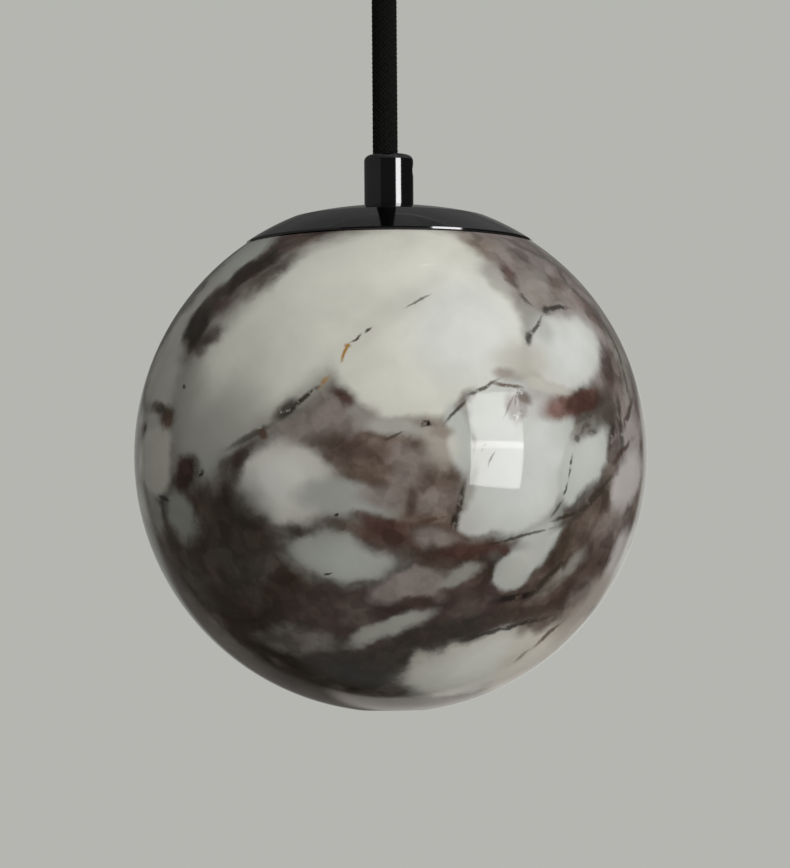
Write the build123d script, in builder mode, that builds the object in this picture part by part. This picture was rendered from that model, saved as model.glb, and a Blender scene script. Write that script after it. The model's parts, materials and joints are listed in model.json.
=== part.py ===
from build123d import *
import os
from math import cos, pi, sin, sqrt

# Stone pendant light, in millimetres. The origin is on the ceiling, at the middle of the
# canopy. +Z points up, the lamp hangs towards -Z, and its front faces -Y.

# Fits
FIT = 0.05  # radial play of threads and of screws in their holes
HOLE_PLAY = 0.15  # radial play of a stud or screw in a plain hole
SEAT_GAP = 0.3  # room between pieces that move apart

# Cord
CORD_D = 6.0
CORD_FREE = 50.0  # taut length between the mouths of the two grips
CORD_TAIL = 4.5  # jacket past the end of each grip's stud
CORD_FIT = 0.05  # cord to the wall and the screw that hold it
BEND_GAP = 0.9  # half the slack in the jacket where the cord flexes
BEND_INSET = 0.3  # flexing length under the jacket's radius
BEND_CLEARANCE = 0.15
STOP_H = 2.5  # crimped ring that stops the cord pulling out
STOP_WALL = 1.9
CORE_D = 2.0  # insulated core
CORE_RING_R = 1.25  # cores lie on this radius in the cord
LEAD_BEND = 5.0
LEAD_SWERVE = 6.0

# Cord grips, one at each end of the cord
GRIP_PLAY = 1.7  # bore over the cord: the screw presses the cord to one side
GRIP_H = 12.5
GRIP_STEP = 0.8  # head over its threaded stud
GRIP_EDGE = 1.4
GRIP_MOUTH = 0.5
GRIP_CHAMFER = 0.4
STUD_WALL = 1.15
STUD_PAST = 1.0  # stud past its nut
GRIP_SCREW_D = 3.0
GRIP_SCREW_DEPTH = 3.6  # screw's axis from the mouth
GRIP_SCREW_SINK = 0.3
SLOT_W = 0.6  # screwdriver slots
SLOT_DEPTH = 0.8

# Nuts and washers on the studs
NUT_WALL = 2.0
NUT_H = 4.0
WASHER_W = 3.0
WASHER_H = 0.8

# Ceiling canopy and its bracket
CANOPY_D = 100.0
CANOPY_H = 25.0
CANOPY_WALL = 1.2
CANOPY_EDGE = 4.0
STRAP_W = 16.0
STRAP_T = 1.5
STRAP_BEND = 1.0
EAR_H = 14.0
EAR_GAP = 1.5  # ear to the wall of the cup
CEILING_SLOT_SPACING = 60.0
CEILING_SLOT_L = 10.0
CEILING_SLOT_W = 4.5
SIDE_SCREW_D = 4.0
SIDE_SCREW_DROP = 8.0  # below the ceiling
SIDE_SCREW_BOSS_H = 1.0
SIDE_SCREW_BOSS_WALL = 1.2
SIDE_HEAD_D = 7.0
SIDE_HEAD_H = 2.0

# Terminal block
POLE_PITCH = 12.0
BLOCK_Y = -26.0
BLOCK_W = 13.0
BLOCK_H = 14.0
LUG_L = 8.0
LUG_H = 3.0
BAR_L = 9.0
BAR_W = 5.0
BAR_H = 8.8
BAR_LIFT = 1.0  # bar above the floor of the canopy
WIRE_PITCH = 4.4  # the two wire holes of a pole
WIRE_PLAY = 0.5
TERMINAL_SCREW_D = 2.5
SIDE_LEAD_DROP = 3.4  # side leads below the ceiling
MIDDLE_LEAD_DROP = 6.0

# Small screws and nuts
M3_D = 3.0
M3_HEAD_D = 5.6
M3_HEAD_H = 2.0
M3_NUT_WALL = 1.25
M3_NUT_H = 2.4
M3_PAST = 0.8

# Globe
GLOBE_D = 120.0
GLOBE_WALL = 10.0
BASE_FLAT_D = 18.0
BASE_EDGE = 1.5
MOUTH_EDGE = 0.4
NECK_BORE_D = 47.6
RING_WALL = 2.2
RING_H = 6.5
RING_GROOVE_W = 1.2
RING_GROOVE_DEPTH = 0.6
GLUE_GAP = 0.1
NECK_LAND = 8.4  # flat of stone round the mouth

# Cap, flush with the globe, and what it carries
GASKET_H = 0.3
GASKET_W = 3.0
GASKET_SET = 0.5  # gasket inside the edge of the cap
CAP_WALL = 1.5
CAP_BAND = 10.4  # outer band that carries on the globe's round
CAP_EDGE = 0.25
RIM_STEP = 0.8  # edge of the cap inside the edge of the stone
RIM_LIP = 0.6  # upright edge of the cap
CROWN_R = 94.0  # flatter middle of the cap
LAND_MARGIN = 1.2  # flat seat round the grip
THREAD_GAP = 0.2
THREAD_L = 5.5
COLLAR_WALL = 2.2
WEB_H = 2.0
WEB_GAP = 0.8  # web above the stone

# Yoke, holder and earth point
YOKE_T = 1.0
YOKE_W = 14.0
YOKE_H = 27.2
YOKE_BEND = 1.0
HOLDER_D = 19.0
HOLDER_H = 18.0
HOLDER_FLANGE_H = 3.0
HOLDER_FLANGE_W = 9.0
HEAD_ROOM = 0.3  # round a screw head or a nut
CONTACT_SPACING = 9.0
CONTACT_WALL = 0.4
CONTACT_DEPTH = 8.0
TAG_T = 0.6
TAG_R = 2.9
TAG_REACH = 6.2
BARREL_L = 5.0
BARREL_WALL = 0.5

# Two-pin lamp
TANG_L = 14.0
TANG_W = 7.0
TANG_H = 4.8
TANG_PLAY = 0.3
PIN_D = 1.5
PIN_L = 6.5
PIN_PLAY = 0.1
BULB_BASE_D = 16.0
BULB_BASE_H = 10.0
BULB_D = 17.0
BULB_WALL = 1.2
BULB_ROOM = 16.0  # lamp's tip above the bottom of the hollow
BOARD_W = 7.0
BOARD_T = 1.2
BOARD_GAP = 6.0


def height_on(radius, r):
    """Height of a sphere above its centre, at the distance r from its axis."""
    return sqrt(radius**2 - r**2)


# Radii that follow from the sizes
cord_r = CORD_D / 2
core_r = CORE_D / 2
grip_bore_r = (CORD_D + GRIP_PLAY) / 2
stud_r = grip_bore_r + STUD_WALL
grip_r = stud_r + GRIP_STEP
stud_hole_r = stud_r + HOLE_PLAY
cord_x = cord_r + CORD_FIT - grip_bore_r
canopy_r = CANOPY_D / 2
canopy_in_r = canopy_r - CANOPY_WALL
ear_x = canopy_in_r - EAR_GAP
globe_r = GLOBE_D / 2
hollow_r = globe_r - GLOBE_WALL
ring_in_r = NECK_BORE_D / 2
ring_out_r = ring_in_r + RING_WALL
stone_bore_r = ring_out_r + GLUE_GAP
cut_r = stone_bore_r + NECK_LAND
collar_r = ring_in_r - THREAD_GAP
land_r = grip_r + LAND_MARGIN
contact_in_r = PIN_D / 2 + PIN_PLAY
contact_r = contact_in_r + CONTACT_WALL
contact_x = CONTACT_SPACING / 2
m3_hole_r = M3_D / 2 + HOLE_PLAY
m3_head_r = M3_HEAD_D / 2
m3_nut_corner_r = (M3_D / 2 + M3_NUT_WALL) / cos(pi / 6)
nut_corner_r = (stud_r + NUT_WALL) / cos(pi / 6)
earth_x = nut_corner_r + HEAD_ROOM + m3_head_r
holder_screw_x = HOLDER_D / 2 + HEAD_ROOM + m3_head_r
yoke_x = holder_screw_x + m3_nut_corner_r + HEAD_ROOM + YOKE_BEND + YOKE_T

# Heights above the middle of the globe
cut_h = height_on(globe_r, cut_r)
rim_h = cut_h + GASKET_H
rim_r = cut_r - RIM_STEP
cap_r = sqrt(rim_r**2 + (rim_h + RIM_LIP) ** 2)
shoulder_r = rim_r - CAP_BAND
crown_h = height_on(cap_r, shoulder_r) - height_on(CROWN_R, shoulder_r)
land_h = crown_h + height_on(CROWN_R, land_r)

# Levels below the ceiling, from the top down
floor_z = -CANOPY_H
inside_z = floor_z + CANOPY_WALL
ceiling_stud_l = CANOPY_WALL + WASHER_H + NUT_H + STUD_PAST
ceiling_cord_end_z = floor_z + ceiling_stud_l + CORD_TAIL
mouth_z = floor_z - GRIP_H
bend_z = mouth_z - BEND_GAP
lamp_mouth_z = mouth_z - CORD_FREE
land_z = lamp_mouth_z - GRIP_H
globe_z = land_z - land_h
cap_under_z = land_z - CAP_WALL
rim_z = globe_z + rim_h
cut_z = globe_z + cut_h
web_z = cut_z + WEB_GAP
yoke_under_z = web_z - YOKE_T
nut_top_z = yoke_under_z - WASHER_H
lamp_stud_l = land_z - nut_top_z + NUT_H + STUD_PAST
stud_end_z = land_z - lamp_stud_l
lamp_cord_end_z = stud_end_z - CORD_TAIL
seat_z = web_z - YOKE_H
holder_z = seat_z - HOLDER_H
pocket_z = holder_z + TANG_H + SEAT_GAP
bulb_top_z = holder_z - SEAT_GAP
bulb_z = bulb_top_z - BULB_BASE_H
bulb_tip_z = globe_z - hollow_r + BULB_ROOM

os.makedirs("parts", exist_ok=True)


def save(built, name):
    """Labels a finished piece and writes its file."""
    built.part.label = name
    export_step(built.part, f"parts/{name}.step")


def sphere_arc(centre_z, radius, r_from, r_to):
    """Three points on a sphere's outline, between two distances from its axis."""
    spread = (r_from, (r_from + r_to) / 2, r_to)
    return [(r, centre_z + height_on(radius, r)) for r in spread]


def quarter_arc(centre, radius):
    """Three points of the lower right quarter of a circle."""
    turns = (-pi / 2, -pi / 4, 0)
    return [(centre[0] + radius * cos(t), centre[1] + radius * sin(t)) for t in turns]


def tube(inner_r, outer_r, bottom, top, x=0.0):
    """An upright ring."""
    with BuildPart() as built:
        with BuildSketch(Plane.XY.offset(bottom)):
            with Locations((x, 0)):
                Circle(outer_r)
                Circle(inner_r, mode=Mode.SUBTRACT)
        extrude(amount=top - bottom)
    return built


def hex_nuts(thread_r, wall, bottom, height, places):
    """Hexagon nuts that stand at the given places."""
    with BuildPart() as built:
        with BuildSketch(Plane.XY.offset(bottom)):
            with Locations(*places):
                RegularPolygon(thread_r + wall, side_count=6, major_radius=False)
                Circle(thread_r + FIT, mode=Mode.SUBTRACT)
        extrude(amount=height)
    return built


def cord_grip(mouth, away, stud_l):
    """A turned grip. away is 1 where its stud points up, -1 where it points down."""
    head_end = mouth + away * GRIP_H
    stud_end = head_end + away * stud_l
    with BuildPart() as built:
        with BuildSketch(Plane.XZ):
            with BuildLine():
                Polyline(
                    (grip_bore_r, mouth),
                    (grip_r, mouth),
                    (grip_r, head_end - away * GRIP_CHAMFER),
                    (grip_r - GRIP_CHAMFER, head_end),
                    (stud_r, head_end),
                    (stud_r, stud_end),
                    (grip_bore_r, stud_end),
                    close=True,
                )
            make_face()
        revolve(axis=Axis.Z)
        rounds = built.edges().filter_by(GeomType.CIRCLE).group_by(Axis.Z)
        mouth_edges = (rounds[0] if away > 0 else rounds[-1]).sort_by(SortBy.RADIUS)
        fillet(mouth_edges[-1], GRIP_EDGE)
        fillet(mouth_edges[0], GRIP_MOUTH)
        with BuildSketch(Plane.YZ):
            with Locations((0, mouth + away * GRIP_SCREW_DEPTH)):
                Circle(GRIP_SCREW_D / 2 + FIT)
        extrude(amount=grip_r, mode=Mode.SUBTRACT)
    return built


def grub_screw(mouth, away):
    """The screw in a grip's side, whose tip holds the cord."""
    tip_x = cord_x + cord_r + CORD_FIT
    end_x = grip_r - GRIP_SCREW_SINK
    axis_z = mouth + away * GRIP_SCREW_DEPTH
    with BuildPart() as built:
        with BuildSketch(Plane.YZ.offset(tip_x)):
            with Locations((0, axis_z)):
                Circle(GRIP_SCREW_D / 2)
        extrude(amount=end_x - tip_x)
        with BuildSketch(Plane.YZ.offset(end_x)):
            with Locations((0, axis_z)):
                Rectangle(GRIP_SCREW_D, SLOT_W)
        extrude(amount=-SLOT_DEPTH, mode=Mode.SUBTRACT)
    return built


def cord_length(bottom, top, pocket_at=None):
    """A straight length of cord, with a round pocket where it meets the flexing length."""
    with BuildPart() as built:
        with BuildSketch(Plane.XY.offset(bottom)):
            with Locations((cord_x, 0)):
                Circle(cord_r)
        extrude(amount=top - bottom)
        if pocket_at is not None:
            with Locations((cord_x, 0, pocket_at)):
                Sphere(cord_r - BEND_INSET + BEND_CLEARANCE, mode=Mode.SUBTRACT)
    return built


def core_place(turn):
    """Where a core leaves the cord, by its turn in degrees about the cord's axis."""
    angle = turn * pi / 180
    return cord_x + CORE_RING_R * cos(angle), CORE_RING_R * sin(angle)


def lead(points, bend):
    """An insulated core along a route of straight runs and arcs."""
    with BuildPart() as built:
        with BuildLine():
            route = FilletPolyline(*points, radius=bend)
        with BuildSketch(Plane(origin=route @ 0, z_dir=route % 0)):
            Circle(core_r)
        sweep(path=route)
    return built


# Ceiling bracket: a strap with slots for two ceiling screws and an ear at each end
with BuildPart() as ceiling_bracket:
    with BuildSketch(Plane.XZ) as strap_outline:
        with BuildLine():
            Polyline(
                (-ear_x, 0),
                (ear_x, 0),
                (ear_x, -EAR_H),
                (ear_x - STRAP_T, -EAR_H),
                (ear_x - STRAP_T, -STRAP_T),
                (-ear_x + STRAP_T, -STRAP_T),
                (-ear_x + STRAP_T, -EAR_H),
                (-ear_x, -EAR_H),
                close=True,
            )
        make_face()
        strap_levels = strap_outline.vertices().group_by(Axis.Y)
        fillet(strap_levels[-1], STRAP_BEND + STRAP_T)
        fillet(strap_levels[-2], STRAP_BEND)
    extrude(amount=STRAP_W / 2, both=True)
    with BuildSketch():
        with GridLocations(CEILING_SLOT_SPACING, 0, 2, 1):
            SlotOverall(CEILING_SLOT_L, CEILING_SLOT_W)
    extrude(amount=-STRAP_T, mode=Mode.SUBTRACT)
save(ceiling_bracket, "ceiling_bracket")

# Canopy cup: a spun cup, open to the ceiling, with two studs for the terminal block
lug_x = 1.5 * POLE_PITCH + LUG_L / 2
lug_places = [(-lug_x, BLOCK_Y), (lug_x, BLOCK_Y)]
with BuildPart() as canopy_cup:
    with BuildSketch(Plane.XZ):
        edge_centre = (canopy_r - CANOPY_EDGE, floor_z + CANOPY_EDGE)
        outer_edge = quarter_arc(edge_centre, CANOPY_EDGE)
        inner_edge = quarter_arc(edge_centre, CANOPY_EDGE - CANOPY_WALL)
        with BuildLine():
            Line((stud_hole_r, floor_z), outer_edge[0])
            ThreePointArc(*outer_edge)
            Polyline(outer_edge[2], (canopy_r, 0), (canopy_in_r, 0), inner_edge[2])
            ThreePointArc(*reversed(inner_edge))
            Polyline(inner_edge[0], (stud_hole_r, inside_z), (stud_hole_r, floor_z))
        make_face()
    revolve(axis=Axis.Z)
    with BuildSketch(Plane.YZ.offset(canopy_in_r - SIDE_SCREW_BOSS_H)):
        with Locations((0, -SIDE_SCREW_DROP)):
            Circle(SIDE_SCREW_D / 2 + SIDE_SCREW_BOSS_WALL)
    side_boss = extrude(amount=SIDE_SCREW_BOSS_H + CANOPY_WALL / 2)
    mirror(side_boss, about=Plane.YZ)
    with BuildSketch(Plane.YZ):
        with Locations((0, -SIDE_SCREW_DROP)):
            Circle(SIDE_SCREW_D / 2 + FIT)
    extrude(amount=canopy_r, both=True, mode=Mode.SUBTRACT)
    with BuildSketch(Plane.XY.offset(inside_z)):
        with Locations(*lug_places):
            Circle(M3_D / 2)
    extrude(amount=LUG_H + M3_NUT_H + M3_PAST)
save(canopy_cup, "canopy_cup")

# Side screws: their tips press on the bracket's ears
with BuildPart() as canopy_side_screws:
    with BuildSketch(Plane.YZ.offset(ear_x + FIT)):
        with Locations((0, -SIDE_SCREW_DROP)):
            Circle(SIDE_SCREW_D / 2)
    extrude(amount=canopy_r - ear_x - FIT)
    with BuildSketch(Plane.YZ.offset(canopy_r)):
        with Locations((0, -SIDE_SCREW_DROP)):
            Circle(SIDE_HEAD_D / 2)
    extrude(amount=SIDE_HEAD_H)
    head_rim = canopy_side_screws.edges().filter_by(GeomType.CIRCLE).sort_by(Axis.X)[-1]
    fillet(head_rim, SIDE_HEAD_H / 2)
    with BuildSketch(Plane.YZ.offset(canopy_r + SIDE_HEAD_H)):
        with Locations((0, -SIDE_SCREW_DROP)):
            Rectangle(SIDE_HEAD_D, SLOT_W)
    extrude(amount=-SLOT_DEPTH, mode=Mode.SUBTRACT)
    mirror(about=Plane.YZ)
save(canopy_side_screws, "canopy_side_screws")

# Ceiling grip, through the floor of the cup
save(cord_grip(mouth_z, 1, ceiling_stud_l), "ceiling_grip")
save(grub_screw(mouth_z, 1), "ceiling_grip_screw")
ceiling_nut_z = inside_z + WASHER_H
save(tube(stud_hole_r, stud_r + WASHER_W, inside_z, ceiling_nut_z), "ceiling_grip_washer")
save(hex_nuts(stud_r, NUT_WALL, ceiling_nut_z, NUT_H, [(0, 0)]), "ceiling_grip_nut")

# Terminal block: three poles, each a brass bar with two wire holes and two screws
block_l = 3 * POLE_PITCH
block_front_y = BLOCK_Y - BLOCK_W / 2
bar_front_y = BLOCK_Y - BAR_W / 2
bar_top_z = inside_z + BAR_LIFT + BAR_H
screw_level_z = bar_top_z - BAR_H / 2
poles = [(-POLE_PITCH, BLOCK_Y), (0, BLOCK_Y), (POLE_PITCH, BLOCK_Y)]
wire_places = [(x + side * WIRE_PITCH / 2, y) for x, y in poles for side in (-1, 1)]
screw_places = [(x, screw_level_z) for x, y in wire_places]
with BuildPart() as terminal_block:
    with BuildSketch(Plane.XY.offset(inside_z)):
        with Locations((0, BLOCK_Y)):
            Rectangle(block_l, BLOCK_W)
    extrude(amount=BLOCK_H)
    with BuildSketch(Plane.XY.offset(inside_z)):
        with Locations((0, BLOCK_Y)):
            Rectangle(block_l + 2 * LUG_L, BLOCK_W)
    extrude(amount=LUG_H)
    with BuildSketch(Plane.XY.offset(inside_z)):
        with Locations(*poles):
            Rectangle(BAR_L + 2 * FIT, BAR_W + 2 * FIT)
        with Locations(*lug_places):
            Circle(m3_hole_r)
    extrude(amount=BAR_LIFT + BAR_H, mode=Mode.SUBTRACT)
    with BuildSketch(Plane.XY.offset(inside_z)):
        with Locations(*wire_places):
            Circle(core_r + WIRE_PLAY)
    extrude(amount=BLOCK_H, mode=Mode.SUBTRACT)
    with BuildSketch(Plane.XZ.offset(-bar_front_y)):
        with Locations(*screw_places):
            Circle(TERMINAL_SCREW_D / 2 + FIT)
    extrude(amount=bar_front_y - block_front_y, mode=Mode.SUBTRACT)
save(terminal_block, "terminal_block")

with BuildPart() as terminal_bars:
    with BuildSketch(Plane.XY.offset(inside_z + BAR_LIFT)):
        with Locations(*poles):
            Rectangle(BAR_L, BAR_W)
        with Locations(*wire_places):
            Circle(core_r, mode=Mode.SUBTRACT)
    extrude(amount=BAR_H)
save(terminal_bars, "terminal_bars")

with BuildPart() as terminal_screws:
    with BuildSketch(Plane.XZ.offset(-bar_front_y)):
        with Locations(*screw_places):
            Circle(TERMINAL_SCREW_D / 2)
    extrude(amount=bar_front_y - block_front_y - SEAT_GAP)
    with BuildSketch(Plane.XZ.offset(-block_front_y - SEAT_GAP)):
        with Locations(*screw_places):
            Rectangle(TERMINAL_SCREW_D, SLOT_W)
    extrude(amount=-SLOT_DEPTH, mode=Mode.SUBTRACT)
save(terminal_screws, "terminal_screws")

lug_top_z = inside_z + LUG_H
save(hex_nuts(M3_D / 2, M3_NUT_WALL, lug_top_z, M3_NUT_H, lug_places), "terminal_nuts")

# Cord: the held length in the canopy, the flexing length at the mouth, and the taut drop
save(cord_length(mouth_z, ceiling_cord_end_z, bend_z), "ceiling_cord_tail")
with BuildPart() as cord_bend:
    with Locations((cord_x, 0, bend_z)):
        Sphere(cord_r - BEND_INSET)
save(cord_bend, "cord_bend")
save(cord_length(lamp_mouth_z, bend_z - BEND_GAP, bend_z), "cord_drop")

# Leads from the cord up and over into the terminal block
ceiling_leads = {
    "ceiling_live_lead": (150, wire_places[0], SIDE_LEAD_DROP),
    "ceiling_neutral_lead": (270, wire_places[2], MIDDLE_LEAD_DROP),
    "ceiling_earth_lead": (30, wire_places[4], SIDE_LEAD_DROP),
}
for name, (turn, hole, drop) in ceiling_leads.items():
    start = core_place(turn)
    route_points = [
        (*start, ceiling_cord_end_z),
        (*start, -drop),
        (*hole, -drop),
        (*hole, bar_top_z),
    ]
    save(lead(route_points, LEAD_BEND), name)

# Lamp grip, its screw, and the held length of cord with its stop
save(cord_grip(lamp_mouth_z, -1, lamp_stud_l), "lamp_grip")
save(grub_screw(lamp_mouth_z, -1), "lamp_grip_screw")
save(cord_length(lamp_cord_end_z, lamp_mouth_z), "lamp_cord_tail")
stop_top_z = stud_end_z - SEAT_GAP
stop_r = cord_r + STOP_WALL
save(tube(cord_r + CORD_FIT, stop_r, stop_top_z - STOP_H, stop_top_z, cord_x), "cord_stop")

# Cap: an upright edge, an outer band nearly flush with the globe, and a flatter crown
with BuildPart() as top_cap:
    inner_cap_r = cap_r - CAP_WALL
    inner_crown_r = CROWN_R - CAP_WALL
    inner_shoulder_h = (inner_cap_r**2 - inner_crown_r**2 + crown_h**2) / (2 * crown_h)
    inner_shoulder_r = height_on(inner_cap_r, inner_shoulder_h)
    inner_rim_r = height_on(inner_cap_r, rim_h)
    inner_land_r = height_on(inner_crown_r, land_h - CAP_WALL - crown_h)
    crown_z = globe_z + crown_h
    band = sphere_arc(globe_z, cap_r, rim_r, shoulder_r)
    crown = sphere_arc(crown_z, CROWN_R, shoulder_r, land_r)
    inner_crown = sphere_arc(crown_z, inner_crown_r, inner_land_r, inner_shoulder_r)
    inner_band = sphere_arc(globe_z, inner_cap_r, inner_shoulder_r, inner_rim_r)
    with BuildSketch(Plane.XZ):
        with BuildLine():
            ThreePointArc(*band)
            ThreePointArc(*crown)
            Polyline(
                crown[2],
                (stud_hole_r, land_z),
                (stud_hole_r, cap_under_z),
                inner_crown[0],
            )
            ThreePointArc(*inner_crown)
            ThreePointArc(*inner_band)
            Polyline(inner_band[2], (rim_r, rim_z), band[0])
        make_face()
    revolve(axis=Axis.Z)
    rim_edges = top_cap.edges().filter_by(GeomType.CIRCLE).group_by(Axis.Z)[0]
    fillet(rim_edges.sort_by(SortBy.RADIUS)[-1], CAP_EDGE)
save(top_cap, "top_cap")

# Collar: carries the globe's thread, and clamps the cap against the grip
with BuildPart() as threaded_collar:
    with BuildSketch(Plane.XZ):
        with BuildLine():
            Polyline(
                (stud_hole_r, cap_under_z),
                (land_r, cap_under_z),
                (land_r, web_z + WEB_H),
                (collar_r, web_z + WEB_H),
                (collar_r, cut_z - THREAD_L),
                (collar_r - COLLAR_WALL, cut_z - THREAD_L),
                (collar_r - COLLAR_WALL, web_z),
                (stud_hole_r, web_z),
                close=True,
            )
        make_face()
    revolve(axis=Axis.Z)
    with BuildSketch(Plane.XY.offset(web_z)):
        with Locations((earth_x, 0)):
            Circle(M3_D / 2 + FIT)
    extrude(amount=WEB_H, mode=Mode.SUBTRACT)
save(threaded_collar, "threaded_collar")

gasket_r = rim_r - GASKET_SET
save(tube(gasket_r - GASKET_W, gasket_r, cut_z, rim_z), "rim_gasket")

# Yoke: a bent strap with two inward tabs that carry the lamp holder
tab_end_x = holder_screw_x - m3_head_r
holder_screw_places = [(-holder_screw_x, 0), (holder_screw_x, 0)]
with BuildPart() as lamp_yoke:
    with BuildSketch(Plane.XZ) as yoke_outline:
        with BuildLine():
            Polyline(
                (0, web_z),
                (yoke_x, web_z),
                (yoke_x, seat_z),
                (tab_end_x, seat_z),
                (tab_end_x, seat_z + YOKE_T),
                (yoke_x - YOKE_T, seat_z + YOKE_T),
                (yoke_x - YOKE_T, yoke_under_z),
                (0, yoke_under_z),
            )
            mirror(about=Plane.YZ)
        make_face()
        yoke_sides = yoke_outline.vertices().group_by(Axis.X)
        fillet(yoke_sides[0] + yoke_sides[-1], YOKE_BEND + YOKE_T)
        fillet(yoke_sides[1] + yoke_sides[-2], YOKE_BEND)
    extrude(amount=YOKE_W / 2, both=True)
    with BuildSketch(Plane.XY.offset(web_z)):
        Circle(stud_hole_r)
        with Locations((earth_x, 0)):
            Circle(m3_hole_r)
    extrude(amount=-YOKE_T, mode=Mode.SUBTRACT)
    with BuildSketch(Plane.XY.offset(seat_z)):
        with Locations(*holder_screw_places):
            Circle(m3_hole_r)
    extrude(amount=YOKE_T, mode=Mode.SUBTRACT)
save(lamp_yoke, "lamp_yoke")

save(tube(stud_hole_r, stud_r + WASHER_W, nut_top_z, yoke_under_z), "collar_washer")
save(hex_nuts(stud_r, NUT_WALL, nut_top_z - NUT_H, NUT_H, [(0, 0)]), "collar_nut")

# Earth tag on the yoke, and the screw that holds it in the collar's web
tag_under_z = yoke_under_z - TAG_T
barrel_z = tag_under_z - BARREL_L
barrel_r = core_r + BARREL_WALL
with BuildPart() as earth_tag:
    with BuildSketch(Plane.XY.offset(tag_under_z)):
        with Locations((earth_x, 0)):
            Circle(TAG_R)
        with Locations((earth_x, TAG_REACH / 2)):
            Rectangle(2 * barrel_r, TAG_REACH)
        with Locations((earth_x, TAG_REACH)):
            Circle(barrel_r)
        with Locations((earth_x, 0)):
            Circle(m3_hole_r, mode=Mode.SUBTRACT)
    extrude(amount=TAG_T)
    with BuildSketch(Plane.XY.offset(barrel_z)):
        with Locations((earth_x, TAG_REACH)):
            Circle(barrel_r)
    extrude(amount=BARREL_L)
save(earth_tag, "earth_tag")

with BuildPart() as earth_screw:
    with BuildSketch(Plane.XY.offset(tag_under_z - M3_HEAD_H)):
        with Locations((earth_x, 0)):
            Circle(m3_head_r)
    extrude(amount=M3_HEAD_H)
    with BuildSketch(Plane.XY.offset(tag_under_z)):
        with Locations((earth_x, 0)):
            Circle(M3_D / 2)
    extrude(amount=TAG_T + YOKE_T + WEB_H)
    with BuildSketch(Plane.XY.offset(tag_under_z - M3_HEAD_H)):
        with Locations((earth_x, 0)):
            Rectangle(M3_HEAD_D, SLOT_W)
    extrude(amount=SLOT_DEPTH, mode=Mode.SUBTRACT)
save(earth_screw, "earth_screw")

# Lamp holder: a ceramic body with a pocket for the lamp, hung from its flange
pocket_l = TANG_L + 2 * TANG_PLAY
pocket_w = TANG_W + 2 * TANG_PLAY
contact_places = [(-contact_x, 0), (contact_x, 0)]
with BuildPart() as lamp_holder:
    with BuildSketch(Plane.XY.offset(holder_z)):
        Circle(HOLDER_D / 2)
    extrude(amount=HOLDER_H)
    with BuildSketch(Plane.XY.offset(seat_z)):
        SlotCenterToCenter(2 * holder_screw_x, HOLDER_FLANGE_W)
    extrude(amount=-HOLDER_FLANGE_H)
    with BuildSketch(Plane.XY.offset(holder_z)):
        Rectangle(pocket_l, pocket_w)
    extrude(amount=pocket_z - holder_z, mode=Mode.SUBTRACT)
    with BuildSketch(Plane.XY.offset(holder_z)):
        with Locations(*contact_places):
            Circle(contact_r + FIT)
        with Locations(*holder_screw_places):
            Circle(m3_hole_r)
    extrude(amount=HOLDER_H, mode=Mode.SUBTRACT)
save(lamp_holder, "lamp_holder")

with BuildPart() as holder_contacts:
    with BuildSketch(Plane.XY.offset(pocket_z)):
        with Locations(*contact_places):
            Circle(contact_r)
    extrude(amount=seat_z - pocket_z)
    with BuildSketch(Plane.XY.offset(pocket_z)):
        with Locations(*contact_places):
            Circle(contact_in_r)
    extrude(amount=CONTACT_DEPTH, mode=Mode.SUBTRACT)
save(holder_contacts, "holder_contacts")

flange_under_z = seat_z - HOLDER_FLANGE_H
tab_top_z = seat_z + YOKE_T
with BuildPart() as holder_screws:
    with BuildSketch(Plane.XY.offset(flange_under_z - M3_HEAD_H)):
        with Locations(*holder_screw_places):
            Circle(m3_head_r)
    extrude(amount=M3_HEAD_H)
    with BuildSketch(Plane.XY.offset(flange_under_z)):
        with Locations(*holder_screw_places):
            Circle(M3_D / 2)
    extrude(amount=HOLDER_FLANGE_H + YOKE_T + M3_NUT_H + M3_PAST)
    with BuildSketch(Plane.XY.offset(flange_under_z - M3_HEAD_H)):
        with Locations(*holder_screw_places):
            Rectangle(M3_HEAD_D, SLOT_W)
    extrude(amount=SLOT_DEPTH, mode=Mode.SUBTRACT)
save(holder_screws, "holder_screws")
save(
    hex_nuts(M3_D / 2, M3_NUT_WALL, tab_top_z, M3_NUT_H, holder_screw_places),
    "holder_nuts",
)

# Leads from the cord to the holder's contacts and to the earth tag
lead_run = lamp_cord_end_z - seat_z
lamp_leads = {"lamp_live_lead": (210, -contact_x), "lamp_neutral_lead": (330, contact_x)}
for name, (turn, end_x) in lamp_leads.items():
    start = core_place(turn)
    route_points = [
        (*start, lamp_cord_end_z),
        (*start, lamp_cord_end_z - lead_run / 3),
        (end_x, 0, seat_z + lead_run / 3),
        (end_x, 0, seat_z),
    ]
    save(lead(route_points, LEAD_SWERVE), name)

earth_start = core_place(90)
earth_turn_z = lamp_cord_end_z - LEAD_BEND - core_r
earth_route = [
    (*earth_start, lamp_cord_end_z),
    (*earth_start, earth_turn_z),
    (earth_x, TAG_REACH, earth_turn_z),
    (earth_x, TAG_REACH, barrel_z),
]
save(lead(earth_route, LEAD_BEND), "lamp_earth_lead")

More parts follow.
